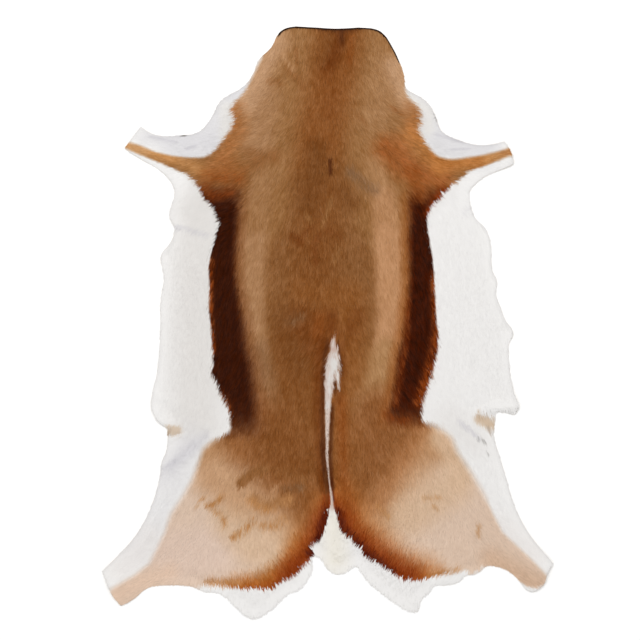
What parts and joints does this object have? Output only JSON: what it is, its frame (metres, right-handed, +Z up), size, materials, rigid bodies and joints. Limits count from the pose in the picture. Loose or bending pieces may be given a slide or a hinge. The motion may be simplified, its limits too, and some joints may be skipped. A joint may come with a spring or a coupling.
{
  "type": "antelope hide",
  "caption": "Whole springbok hide tanned with the hair on, lying flat with neck, legs and tail end spread; brown back with dark side bands and a white belly.",
  "frame": {"origin": "on the floor under the middle of the rectangle that holds the hide's rim", "axes": "+Y from the tail end to the neck, +Z up out of the hair side, +X to the right with the neck away from the viewer"},
  "size_m": [0.8401, 1.1016, 0.0098],
  "materials": {
    "coat": "short, close brown hair, matt with a slight sheen",
    "belly_coat": "longer white hair, matt",
    "leather": "tanned flesh side, matt suede"
  },
  "bodies": {
    "root": {"hide": "coat"}
  },
  "joints": []
}
